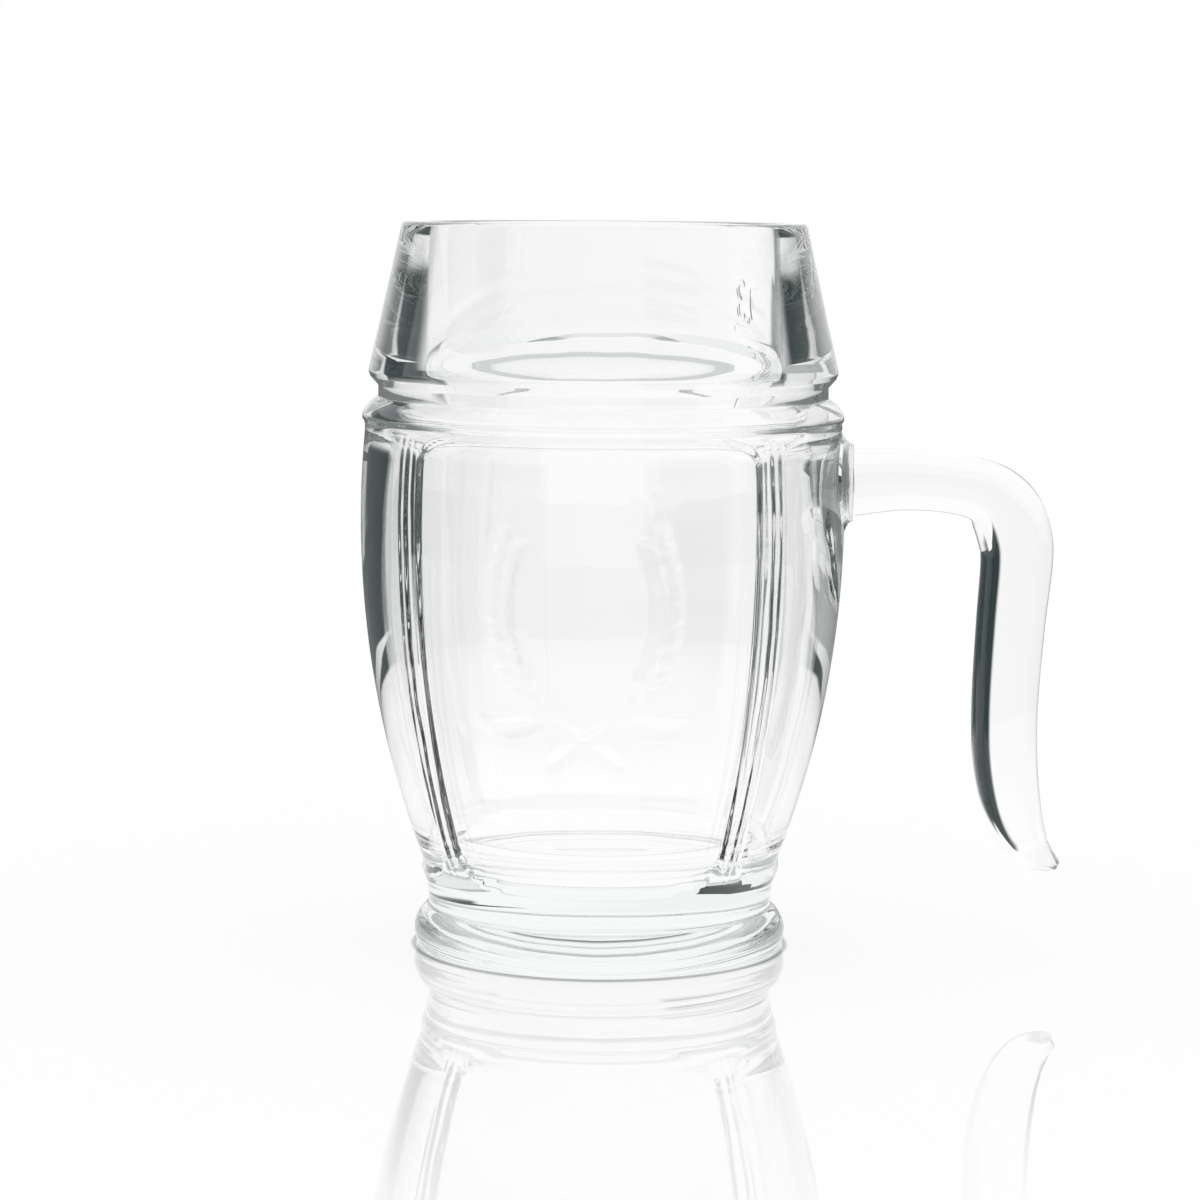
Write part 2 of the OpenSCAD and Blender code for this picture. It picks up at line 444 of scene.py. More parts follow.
def arc(start, end, sag, steps):
    start = np.array(start, float)
    end = np.array(end, float)
    half = np.linalg.norm(end - start) / 2
    radius = (half * half + sag * sag) / (2 * sag)
    right = np.array((end[1] - start[1], start[0] - end[0])) / (2 * half)
    centre = (start + end) / 2 + right * (sag - radius)
    first = math.atan2(start[1] - centre[1], start[0] - centre[0])
    turn = 2 * math.asin(half / radius)
    angles = first + turn * np.arange(1, steps + 1) / steps
    return [tuple(centre + abs(radius) * np.array((math.cos(a), math.sin(a)))) for a in angles]


def rounded(before, corner, after, radius, steps=5):
    before, corner, after = (np.array(p[:2], float) for p in (before, corner, after))
    toBefore = (before - corner) / np.linalg.norm(before - corner)
    toAfter = (after - corner) / np.linalg.norm(after - corner)
    half = math.acos(max(-1, min(1, float(toBefore @ toAfter)))) / 2
    reach = radius / math.tan(half)
    start = corner + toBefore * reach
    end = corner + toAfter * reach
    points = []
    for i in range(steps + 1):  # a quadratic curve stands for the small round
        t = i / steps
        points.append(tuple((1 - t) ** 2 * start + 2 * t * (1 - t) * corner + t * t * end))
    return points


def easedTurn(start, end, lean, steps):  # two arcs that leave and arrive along the same direction
    middle = ((start[0] + end[0]) / 2, (start[1] + end[1]) / 2)
    bulge = math.dist(start, middle) / 2 * math.tan(lean / 2)
    return arc(start, middle, bulge, steps) + arc(middle, end, -bulge, steps)


def bowedRadius(z, largestRadius, height, upright):
    return largestRadius - upright + math.sqrt(upright ** 2 - (z - height) ** 2)


def barrelRadius(z, inset=0):
    return bowedRadius(z, barrel["bellyRadius"] - inset, barrel["bellyHeight"], barrel["upright"] - inset)


def innerRadius(z):
    return bowedRadius(z, hollow["radius"], hollow["height"], hollow["upright"])


def collarRadius(z):
    slope = (barrel["collarRadius"] - barrel["rimRadius"]) / (rimHeight - barrel["collarHeight"])
    return barrel["collarRadius"] - slope * (z - barrel["collarHeight"])


def spread(low, high, step):
    count = max(1, round((high - low) / step))
    return [low + (high - low) * i / count for i in range(count + 1)]


def outsideSection():
    b = barrel
    footMiddle = (b["footRadius"], b["footHeight"] * b["footShare"])
    waist = (b["waistRadius"], b["footHeight"])
    band = (barrelRadius(b["bandHeight"]), b["bandHeight"])
    shoulder = (barrelRadius(b["shoulderHeight"]), b["shoulderHeight"])
    grooveLow = (b["neckRadius"], b["shoulderHeight"] + b["shoulderRise"])
    grooveHigh = (b["neckRadius"], b["collarHeight"] - b["collarSlope"])
    collarUnder = (b["collarRadius"] - b["collarStepWide"], b["collarHeight"] - b["collarStep"])
    collarEdge = (b["collarRadius"], b["collarHeight"])
    rimOut = (b["rimRadius"], rimHeight)
    rimIn = (hollow["mouthRadius"], rimHeight)
    points = arc((0, b["puntHeight"]), (b["puntRadius"], 0), -b["puntHeight"] / 4, 8)
    points += [(radius, 0) for radius in (*b["restRows"], b["restRadius"])]
    lowBulge, topBulge = b["footBulges"]
    points += arc((b["restRadius"], 0), footMiddle, lowBulge, 8)
    points += arc(footMiddle, waist, topBulge, 12)
    points += arc(waist, band, b["bandBulge"], 8)
    low, high, step = b["reliefRows"]
    upright = spread(b["bandHeight"], low, b["rowStep"]) + spread(low, high, step)[1:]
    upright += spread(high, b["shoulderHeight"], b["rowStep"] / 2)[1:]
    points += [(barrelRadius(z), z) for z in upright[1:]]
    points += arc(shoulder, grooveLow, b["shoulderBulge"], 10)[:-1]
    corners = [points[-1], grooveLow, grooveHigh, collarUnder, collarEdge, rimOut]
    for i, radius in enumerate((*b["neckEdges"], b["edge"])):
        points += rounded(*corners[i:i + 3], radius)
    low, high, step = b["markRows"]
    cone = spread(low, high, step) + spread(high, *b["collarRows"])[1:]
    points += [(collarRadius(z), z) for z in cone]
    points += rounded(collarEdge, rimOut, rimIn, b["lipOut"], 7)
    return (0, b["puntHeight"]), points


def insideSection():
    h = hollow
    floorEdge = (h["floorRadius"], h["floorHeight"])
    wallLow = (innerRadius(h["floorHeight"] + h["floorCurve"]), h["floorHeight"] + h["floorCurve"])
    rise = math.atan2(wallLow[1] - floorEdge[1], wallLow[0] - floorEdge[0])
    bulge = math.dist(wallLow, floorEdge) / 2 * math.tan(rise / 2)
    wallTop = (innerRadius(h["top"]), h["top"])
    throat = (h["throatRadius"], h["throatHeight"])
    lean = math.atan2(wallTop[0] - throat[0], throat[1] - wallTop[1])
    taper = (h["throatRadius"] - h["mouthRadius"]) / (rimHeight - h["throatHeight"])
    rim = (h["mouthRadius"], rimHeight)
    points = [(r, h["floorHeight"]) for r in spread(0, h["floorRadius"], h["floorStep"])[1:]]
    points += arc(floorEdge, wallLow, bulge, 16)
    points += [(innerRadius(z), z) for z in spread(wallLow[1], h["top"], h["wallStep"])[1:]]
    points += easedTurn(wallTop, throat, lean, 10)
    mouth = spread(throat[1], h["mouthTop"], h["mouthStep"])[1:]
    points += [(h["throatRadius"] - taper * (z - throat[1]), z) for z in mouth]
    points += rounded(throat, rim, (barrel["rimRadius"], rimHeight), barrel["lipIn"], 7)
    return points[::-1], (0, h["floorHeight"])


columns = dict(  # degrees between the columns of the body's mesh
    back=2.5,
    left=3.0,
    front=0.95,
    right=3.0,
    mark=0.35,
    backRib=0.8,
    frontRib=0.3,
    past=0.6,   # how far a rib's columns go past its edges
)


def ringAngles():  # close together on the ribs' edges, under the relief and under the fill mark
    w, c = windows, columns
    half = w["ribAngle"] / 2 + (math.degrees(w["sideEdge"] / barrel["bellyRadius"]) / 2 + c["past"])
    ribs = [w["ribPlace"], 180 - w["ribPlace"], 180 + w["ribPlace"], 360 - w["ribPlace"]]
    following = ribs[1:] + [ribs[0] + 360]
    ribSteps = [c["mark"], c["backRib"], c["frontRib"], c["frontRib"]]
    panelSteps = [c["back"], c["left"], c["front"], c["right"]]
    ends = [rib + half for rib in ribs]
    ends[0] = max(ends[0], fillMark["azimuth"] + fillMark["halfAngle"])
    angles = []
    for rib, end, after, ribStep, panelStep in zip(ribs, ends, following, ribSteps, panelSteps):
        angles += spread(rib - half, end, ribStep)[:-1]
        angles += spread(end, after - half, panelStep)[:-1]
    return [math.radians(a) for a in angles]


def ringQuads(first, rows, count):  # between rings of points, each with so many
    quads = []
    for here in range(first, first + (rows - 1) * count, count):
        for k in range(count):
            beside = (k + 1) % count
            quads.append((here + k, here + beside, here + count + beside, here + count + k))
    return quads


def turnedRings(section, angles):
    return [(r * mm * math.cos(a), r * mm * math.sin(a), z * mm) for r, z in section for a in angles]


def lathe(name):
    under, outside = outsideSection()
    inside, floor = insideSection()
    angles = ringAngles()
    dense = outside + inside[:barrel["denseInside"]]
    sparse = inside[barrel["denseInside"]:]
    across = len(angles)
    kept = [0]  # the columns that go on inside, where nothing fine is
    for k in range(1, across):
        if angles[k] - angles[kept[-1]] > math.radians(barrel["insideStep"]):
            kept.append(k)
    count = len(kept)
    points = [(under[0], 0.0, under[1] * mm)]
    points += turnedRings(dense, angles) + turnedRings(sparse, [angles[k] for k in kept])
    points.append((floor[0], 0.0, floor[1] * mm))
    edge = 1 + (len(dense) - 1) * across
    first = edge + across
    last = len(points) - 1
    faces = [(0, 1 + (k + 1) % across, 1 + k) for k in range(across)]
    faces += ringQuads(1, len(dense), across)
    for j in range(count):  # the strip where the number of columns changes
        beside = (j + 1) % count
        end = kept[beside] if beside else across
        faces.append([edge + k % across for k in range(kept[j], end + 1)] + [first + beside, first + j])
    faces += ringQuads(first, len(sparse), count)
    faces += [(last, last - count + j, last - count + (j + 1) % count) for j in range(count)]
    mesh = shapedMesh(name, points, faces)
    mask = mesh.attributes.new("outerWall", "FLOAT", "POINT")
    outer = np.zeros(len(points), np.float32)
    outer[1:1 + len(outside) * across] = 1  # the rest is the inside
    mask.data.foreach_set("value", outer)
    mesh.update()
    return mesh


def outerWall(tree):
    inputs = {"Name": "outerWall"}
    return field(tree, "GeometryNodeInputNamedAttribute", inputs, "Attribute", data_type="FLOAT")


def windowTree():
    tree, get = geometryTree("pressWindows", list(windows), Vector=["dentPlace"])
    place = field(tree, "GeometryNodeInputPosition")
    x, y, z = parted(place)
    radius = hypot(x, y)
    beside = sums("ARCTAN2", abs(y), abs(x)) - get["ribPlace"]
    side = (get["ribAngle"] * 0.5 - abs(beside)) * radius * (get["edge"] / get["sideEdge"])
    rise = abs(z - (get["low"] + get["high"]) * 0.5) - (get["high"] - get["low"]) * 0.5
    sideIn = side + get["corner"]
    riseIn = rise + get["corner"]
    cornerWay = hypot(largest(sideIn, 0.0), largest(riseIn, 0.0))
    outline = cornerWay + smallest(largest(sideIn, riseIn), 0.0) - get["corner"]
    climb = sums("ADD", outline / get["edge"], 0.5, clamp=True)  # 0 on the window, 1 on the rib
    back = above(y, 0.0)
    gentle = mixed(back, get["gentle"], get["backGentle"])
    height = mixed(gentle, eased(climb, get["steepFrom"], get["steepTo"]), climb)
    groove = eased(abs(z - get["groove"]), get["grooveHalf"], 0.0)
    height = smallest(height, 1.0 - groove * get["grooveShare"])
    fromCrown = beside * radius + get["crownAside"]
    ribWay = fromCrown / get["crownHalf"]
    onRib = sums("SUBTRACT", 1.0, ribWay * ribWay, clamp=True) * (1.0 - back)
    onRib = onRib * eased(z, get["high"], get["high"] - get["corner"])
    onRib = onRib * eased(z, get["low"], get["low"] + get["corner"])
    drawn = vectorSums("MULTIPLY", place, joined(1.0, 1.0, get["ribWaverDrawn"]))
    wander = (noise(drawn, 1.0 / get["ribWaverSize"]) - 0.5) * get["ribWaver"]
    ripple = sums("SINE", (fromCrown + wander) / get["rippleWide"] * (2 * math.pi))
    crown = get["crown"] + ripple * get["ripple"]
    mask = outerWall(tree)
    outerMove = ((height - 1.0) * get["depth"] + onRib * crown) * mask
    waveMove = noise(place, 1.0 / get["waverSize"]) * get["waver"]
    dentWay = vectorSums("LENGTH", vectorSums("SUBTRACT", place, get["dentPlace"]))
    dent = eased(dentWay, get["dentReach"], 0.0) * (1.0 - mask)
    dentMove = dent * noise(place, 1.0 / get["dentSize"]) * get["dent"]
    offset = scaled(field(tree, "GeometryNodeInputNormal"), outerMove - waveMove + dentMove)
    pressed = field(tree, "GeometryNodeSetPosition", {"Geometry": get["Geometry"], "Offset": offset})
    return endTree(pressed, get["glass"])


# Relief in the front window: two ears of barley, drawn flat and then bent round the barrel

relief = dict(
    stem=[(-5.5, 35.5, 0.5), (0, 39.5, 0.6), (7, 44.5, 0.6), (12, 52, 0.6), (13.6, 61, 0.5), (11.4, 72, 0.4)],
    ear=[(9.4, 47.6), (12, 52), (13.4, 57), (13.7, 62), (13, 67), (11.4, 72)],
    leaf=[(4.5, 42.6, 0.2), (8, 42.4, 1.2), (12, 41.4, 1.7), (16, 41.8, 1.1), (18.5, 43.6, 0.2)],
    awns=[
        [(12.6, 70), (12.3, 75), (11.4, 80)],
        [(11.4, 72), (10, 76), (8.6, 79.4)],
        [(13.6, 67.5), (14.4, 73), (14.2, 78)]],
    awnRadius=0.25,
    rise=1.1,
    soften=1,
)
grains = dict(
    width=2.0,
    length=4.3,
    rise=0.6,
    spacing=1.55,
    aside=1.15,           # of a grain from the stem
    tilt=24.0,            # degrees
    flat=0.6,             # how far the stems are flattened
    belly=barrel["bellyRadius"] - windows["depth"],  # the curve that the ears are bent round
    bellyHeight=barrel["bellyHeight"],
    upright=barrel["upright"] - windows["depth"],
)
fillMark = dict(
    azimuth=38.5,         # from the handle's side, degrees
    halfAngle=10.0,
    height=97.3,
    bar=10.5,
    barRadius=0.6,
    stroke=0.4,
    digitWide=2.7,
    digitHigh=6.6,
    gap=1.1,
    point=[(-0.324, -0.5), (0, 0.3)],  # from the middle and the digits' lower end
    threeFrom=150,        # where the upper stroke of the last digit starts, degrees
    rise=0.28,
    soften=1,
)
stampReach = 3.0          # how far off the wall the forms of relief and mark are looked for


def lineObject(name, lines):
    data = bpy.data.curves.new(name, "CURVE")
    data.dimensions = "3D"
    for line in lines:
        spline = data.splines.new("POLY")
        spline.points.add(len(line) - 1)
        for point, (x, y, z, radius) in zip(spline.points, line):
            point.co = (x * mm, y * mm, z * mm, 1)
            point.radius = radius * mm
    return addPiece(name, data)


def flatLines(line, radius=None):  # a line of the right half and its mirror image
    return [[(sign * p[0], p[1], 0, p[2] if radius is None else radius) for p in line] for sign in (1, -1)]


def earTree():
    tree, get = geometryTree("growEars", list(grains), Object=["stems"])
    smoothLine = dict(spline_type="CATMULL_ROM")
    bent = field(tree, "GeometryNodeCurveSplineType", {"Curve": shapeFrom(get["stems"])}, **smoothLine)
    ring = field(tree, "GeometryNodeCurvePrimitiveCircle", {"Resolution": 10, "Radius": 1.0}, mode="RADIUS")
    thickness = field(tree, "GeometryNodeInputRadius")
    tube = field(tree, "GeometryNodeCurveToMesh", {
        "Curve": bent, "Profile Curve": ring, "Scale": thickness, "Fill Caps": True})
    squash = field(tree, "GeometryNodeTransform", {"Geometry": tube, "Scale": joined(1.0, 1.0, get["flat"])})
    ears = field(tree, "GeometryNodeCurveSplineType", {"Curve": get["Geometry"]}, **smoothLine)
    even = field(tree, "GeometryNodeResampleCurve", {"Curve": ears, "Length": get["spacing"]}, mode="LENGTH")
    kept = captured(even, way=("VECTOR", field(tree, "GeometryNodeInputTangent")))
    wayX, wayY, wayZ = parted(kept["way"])
    side = sums("MODULO", field(tree, "GeometryNodeInputIndex"), 2.0) * 2.0 - 1.0
    across = joined(wayY * -1.0, wayX, 0.0)
    apart = field(tree, "GeometryNodeSetPosition", {
        "Geometry": kept["Geometry"], "Offset": scaled(across, side * get["aside"])})
    grain = field(tree, "GeometryNodeMeshUVSphere", {"Segments": 16, "Rings": 10, "Radius": 0.5})
    heading = sums("ARCTAN2", wayY, wayX) - math.pi / 2 + side * get["tilt"]
    sown = field(tree, "GeometryNodeInstanceOnPoints", {
        "Points": apart, "Instance": grain, "Rotation": joined(0.0, 0.0, heading),
        "Scale": joined(get["width"], get["length"], get["rise"] * 2.0)})
    joint = newNode(tree, "GeometryNodeJoinGeometry", {0: squash})
    feed(joint.inputs[0], field(tree, "GeometryNodeRealizeInstances", {0: sown}))
    u, v, w = parted(field(tree, "GeometryNodeInputPosition"))
    drop = v - get["bellyHeight"]
    wall = get["belly"] - get["upright"] + sums("SQRT", get["upright"] * get["upright"] - drop * drop)
    angle = u / wall
    far = wall + w
    place = joined(far * sums("SINE", angle), far * (sums("COSINE", angle) * -1.0), v)
    bend = field(tree, "GeometryNodeSetPosition", {"Geometry": Field(joint.outputs[0]), "Position": place})
    return endTree(bend, get["glass"])


def makeEars():
    r = relief
    lines = flatLines(r["stem"]) + flatLines(r["leaf"])
    for awn in r["awns"]:
        lines += flatLines(awn, r["awnRadius"])
    stems = lineObject("stems", lines)
    ears = lineObject("ears", flatLines(r["ear"], 1))
    values = inMetres(grains, shares=["flat"], angles=["tilt"]) | {"stems": stems, "glass": pressedGlass}
    mesh = builtMesh(ears, earTree(), values)
    bpy.data.objects.remove(ears)
    bpy.data.objects.remove(stems)
    return addPiece("earForm", mesh)


def roundStroke(middleX, middleY, halfWide, halfHigh, fromAngle, toAngle, steps):
    angles = [math.radians(fromAngle + (toAngle - fromAngle) * i / steps) for i in range(steps + 1)]
    return [(middleX + halfWide * math.cos(a), middleY + halfHigh * math.sin(a)) for a in angles]


def makeMark():  # a line at the fill height and plain numbers above it
    m = fillMark
    wide, high = m["digitWide"], m["digitHigh"]
    base = m["barRadius"] + m["gap"]
    three = roundStroke(wide, base + high * 0.75, wide / 2, high / 4, m["threeFrom"], -90, 9)
    three += roundStroke(wide, base + high * 0.25, wide / 2, high / 4, 90, -m["threeFrom"], 9)[1:]
    strokes = [
        (m["barRadius"], [(-m["bar"] / 2, 0), (m["bar"] / 2, 0)]),
        (m["stroke"], roundStroke(-wide, base + high / 2, wide / 2, high / 2, 0, 360, 20)),
        (m["stroke"], [(u, base + v) for u, v in m["point"]]),
        (m["stroke"], three),
    ]
    lines = []
    for radius, stroke in strokes:
        line = []
        for u, v in stroke:
            z = m["height"] + v
            wall = collarRadius(z)
            a = math.radians(m["azimuth"]) + u / wall
            line.append((wall * math.cos(a), wall * math.sin(a), z, radius))
        lines.append(line)
    mark = lineObject("mark", lines)
    mark.data.bevel_depth = 1.0  # each point's own radius is the tube's
    mark.data.bevel_resolution = 3
    mark.data.use_fill_caps = True
    mesh = meshOf(mark)
    bpy.data.objects.remove(mark)
    return addPiece("markForm", mesh)


def stampTree():
    tree, get = geometryTree("stampRelief", ["reach", "rise"], Object=["stamp"], Int=["soften"])
    place = field(tree, "GeometryNodeInputPosition")
    normal = field(tree, "GeometryNodeInputNormal")
    start = vectorSums("ADD", place, scaled(normal, get["reach"]))
    ray = fields(newNode(tree, "GeometryNodeRaycast", {
        "Target Geometry": shapeFrom(get["stamp"]), "Source Position": start,
        "Ray Direction": scaled(normal, -1.0), "Ray Length": get["reach"]}))
    height = smallest(largest(get["reach"] - ray["Hit Distance"], 0.0), get["rise"])
    height = height * ray["Is Hit"] * outerWall(tree)
    soft = field(tree, "GeometryNodeBlurAttribute", {"Value": height, "Iterations": get["soften"]},
                 data_type="FLOAT")
    offset = scaled(normal, soft)
    raised = field(tree, "GeometryNodeSetPosition", {"Geometry": get["Geometry"], "Offset": offset})
    return endTree(raised, get["glass"])


def makeBody():
    piece = addPiece("pressedBody", lathe("pressedBody"))
    values = inMetres(windows, windowShares, windowAngles)
    values["dentPlace"] = Vector((hollow["radius"], 0, bar["weldZ"] - dentBelow)) * mm
    values["glass"] = pressedGlass
    piece.data = builtMesh(piece, windowTree(), values)
    stamp = stampTree()
    for form, sizes in ((makeEars(), relief), (makeMark(), fillMark)):
        piece.data = builtMesh(piece, stamp, {
            "stamp": form, "reach": stampReach * mm, "rise": sizes["rise"] * mm, "soften": sizes["soften"],
            "glass": pressedGlass})
        bpy.data.objects.remove(form)
    piece.data.shade_smooth()
    return piece


mugBody = makeBody()
print("body pressed,", len(mugBody.data.polygons), "faces")


# Handle: a bar with a flat outside and a round inside, swept along a hook

def bentPower(value, power):
    return sums("SIGN", value) * sums("POWER", abs(value), power)


def barTree():
    floats = ["depth", "roundShare", "squareSide", "roundSide", "tipWidth", "start"]
    tree, get = geometryTree("sweepBar", floats, Int=["sides", "rings"])
    here = field(tree, "GeometryNodeInputPosition")
    line = field(tree, "GeometryNodeCurveSplineType", {"Curve": get["Geometry"]}, spline_type="CATMULL_ROM")
    even = field(tree, "GeometryNodeResampleCurve", {"Curve": line, "Count": get["rings"]}, mode="COUNT")
    along = captured(
        even, place=("VECTOR", here), way=("VECTOR", field(tree, "GeometryNodeInputTangent")),
        width=("FLOAT", field(tree, "GeometryNodeInputRadius")))
    circle = {"Resolution": get["sides"], "Radius": 1.0}
    ring = field(tree, "GeometryNodeCurvePrimitiveCircle", circle, mode="RADIUS")
    section = captured(ring, ringPlace=("VECTOR", here))
    swept = field(tree, "GeometryNodeCurveToMesh", {
        "Curve": along["Geometry"], "Profile Curve": section["Geometry"], "Fill Caps": True})
    across, deep, flat = parted(section["ringPlace"])
    outer = above(across, 0.0)
    power = 2.0 / mixed(outer, get["roundSide"], get["squareSide"])
    reach = mixed(outer, get["roundShare"], 1.0 - get["roundShare"])
    acrossShare = bentPower(across, power) * reach + (get["roundShare"] - 0.5)
    width = along["width"]
    thin = sums("SQRT", smallest(width / get["tipWidth"], 1.0))
    outward = vectorSums("CROSS_PRODUCT", along["way"], (0.0, 1.0, 0.0))
    there = vectorSums("ADD", along["place"], scaled(outward, acrossShare * width))
    halfDepth = get["depth"] * 0.5 * thin
    there = vectorSums("ADD", there, joined(0.0, bentPower(deep, power) * halfDepth, 0.0))
    x, y, z = parted(there)
    square = joined(largest(x, get["start"]), y, z)  # the end at the weld is cut square
    shape = field(tree, "GeometryNodeSetPosition", {"Geometry": swept, "Position": square})
    # the ring runs the other way round the line, so the faces are turned
    turned = field(tree, "GeometryNodeFlipFaces", {"Mesh": shape})
    return endTree(turned, get["glass"])


def makeHandle():
    points = [(bar["weldX"] + a, 0, bar["weldZ"] + b, width) for a, b, width in hookLine]
    line = lineObject("hookLine", [points])
    values = inMetres(bar, shares=["roundShare", "squareSide", "roundSide", "sides", "rings"])
    values |= {"start": (bar["weldX"] + bar["gap"]) * mm, "glass": handleGlass}
    piece = addPiece("hookHandle", builtMesh(line, barTree(), values))
    bpy.data.objects.remove(line)
    piece.data.shade_smooth()
    return piece


handle = makeHandle()
print("handle swept,", len(handle.data.polygons), "faces")


# Weld: a pad of melted glass that follows the window on one side and meets the bar on the other

weld = dict(
    baseRadius=8.2,
    neckRadius=6.4,
    flare=2.2,            # power of its side's curve
    around=72,
    rings=14,
    capRings=(0.25, 0.5, 0.75),       # shares of the radius on the bar's side
    baseRings=(0.8, 0.6, 0.4, 0.2),   # and on the barrel's side
)


def makeWeld():
    w = weld
    farX, middleZ, count = bar["weldX"], bar["weldZ"], w["around"]
    rows = [(w["neckRadius"] * share, 1) for share in w["capRings"]]
    for i in range(w["rings"] + 1):  # the side, from the bar to the barrel
        t = i / w["rings"]
        rows.append((w["neckRadius"] + (w["baseRadius"] - w["neckRadius"]) * t ** w["flare"], 1 - t))
    rows += [(w["baseRadius"] * share, 0) for share in w["baseRings"]]
    points = []
    for radius, share in rows:
        for k in range(count):
            a = 2 * math.pi * k / count
            y = radius * math.cos(a)
            z = middleZ + radius * math.sin(a)
            wall = math.sqrt(barrelRadius(z, windows["depth"]) ** 2 - y * y) + bar["gap"]
            points.append(((wall + (farX - wall) * share) * mm, y * mm, z * mm))
    startWall = barrelRadius(middleZ, windows["depth"]) + bar["gap"]
    points += [(farX * mm, 0, middleZ * mm), (startWall * mm, 0, middleZ * mm)]
    faces = [(a, d, c, b) for a, b, c, d in ringQuads(0, len(rows), count)]
    lastRow = (len(rows) - 1) * count
    for k in range(count):
        beside = (k + 1) % count
        faces.append((len(points) - 2, k, beside))
        faces.append((len(points) - 1, lastRow + beside, lastRow + k))
    mesh = shapedMesh("weldPad", points, faces)
    mesh.materials.append(weldGlass)
    mesh.shade_smooth()
    return addPiece("weldPad", mesh)


handleWeld = makeWeld()
print("weld made")


# Table and light: bearings and elevations in degrees, places on the table in mm

studio = dict(
    dark=(0.02, 0.036, 0.038, 1),   # the black cards that stand between the lit panels, and the painted shade and painted contact shadow on the table
    backdrop=(-19, 22),             # bearings between which the backdrop is lit
    dimPanel=(22, 55),              # a weaker panel beside it
    dimLevel=0.85,
    otherPanels=((-112, -68), (105, 165), (155, 205)),  # lit walls at the sides and behind the camera
    softEdge=2.5,                   # of a panel's edge
    through=(-31, 31),              # bearings that are lit far away behind two walls of glass
    overhead=(6, 19),               # elevation over which the lit ceiling starts
    roomTop=(13, 17),               # and over which the room gets light for what the glass mirrors
    softbox=((-172, -143), (12, 26)),   # bearing and elevation of the lamp in front
    sideways=38,                    # bearing up to which a glancing ray still meets the backdrop
    sidewaysSoft=10,
    front=0.15,                     # light level of the room behind the camera
    few=2.5,                        # more turns in the glass or passes through it than this count as many
    often=(0.7, 0.2),               # level after many turns in the glass, at the foot and around
    oftenNear=(100, 180),
    oftenTop=(10, 30),              # elevation over which that light grows
    nearLit=(150, 240),             # the table is lit this far round the mug
    farLit=(350, 700),              # and this far where it is seen straight through the glass
    pool=(270, 290),                # and this far for light that is thrown to the side inside the glass
    strip=(85, 135),                # half the width of a lit strip behind the mug
    stripFront=(-25, 25),           # where it starts
    lookAlong=-4,                   # bearing that the next values are counted from
    sideTable=(53, 68),             # where the far table gets light, as seen through the collar
    sideEnd=(90, 110),              # and over which it gets dim again
    sideLevel=(0.9, 0.22),
    sweep=(212, 3.8),               # another strip: where it starts and how much later with each degree
    sweepSoft=(-18, 8),
    sweepEnd=(420, 440),
    sweepRight=0.5,                 # how light the table stays behind it on the right
    cardBearing=(10, 100),          # black card on the right, as seen from the handle
    cardThrough=17,                 # where it starts for rays that went through two walls
    cardAbove=30,                   # bearing from which it also stands up from the table
    cardNear=(24, 40),              # its distance from the handle
    cardTop=(6, 1),                 # elevation over which it ends
    evenLight=0.972,                # middle level of the backdrop, which is darker to the left and downwards
    unevenLight=0.03,
    unevenTurn=5.0,
    unevenDown=0.4,
    contactWide=(0.8, 2.0),         # thin shadow at the foot, beside the mug and in front of it
    shadow=0.3,                     # how much of the shadow the white table keeps
    gloss=0.42,                     # the table's mirror image right at the foot
    glossFade=(30, 250),            # over which it fades
    glossAlong=70.89,               # as far as this the handle counts as near
    tableHalf=4.0,                  # metres
)
litPanels = (studio["through"], *studio["otherPanels"])


def past(distance, span):
    return eased(distance, span[0] * mm, span[1] * mm)


def within(distance, span):
    return past(distance, span[::-1])


def higher(z, elevations):  # for the height z of a direction
    return eased(z, *(math.sin(math.radians(elevation)) for elevation in elevations))


def between(bearing, low, high, soft=studio["softEdge"]):  # 1 where a bearing lies between two others
    middle = math.radians((low + high) / 2)
    half = math.radians(high - low) / 2
    edge = math.radians(soft)
    turned = sums("WRAP", bearing - middle, math.pi, -math.pi)
    return eased(abs(turned), half + edge, half - edge)


def lightKinds(tree):  # what a ray has been through before it got here
    path = fields(newNode(tree, "ShaderNodeLightPath"))
    turns, walls, few = path["Glossy Depth"], path["Transmission Depth"], studio["few"]
    plain = largest(path["Is Camera Ray"], above(path["Diffuse Depth"], 0.5))
    mirrored = above(turns, 0.5)
    front = mirrored * below(walls, 0.5)
    oneWall = below(walls, few)
    thrown = mirrored * below(turns, few) * oneWall
    return plain, front, thrown, above(turns, few), oneWall


def backdropLevel(x, z):  # of the backdrop in a direction
    tilt = (x + z * studio["unevenDown"]) * studio["unevenTurn"]
    return smallest(largest(tilt, -1.0), 1.0) * studio["unevenLight"] + studio["evenLight"]


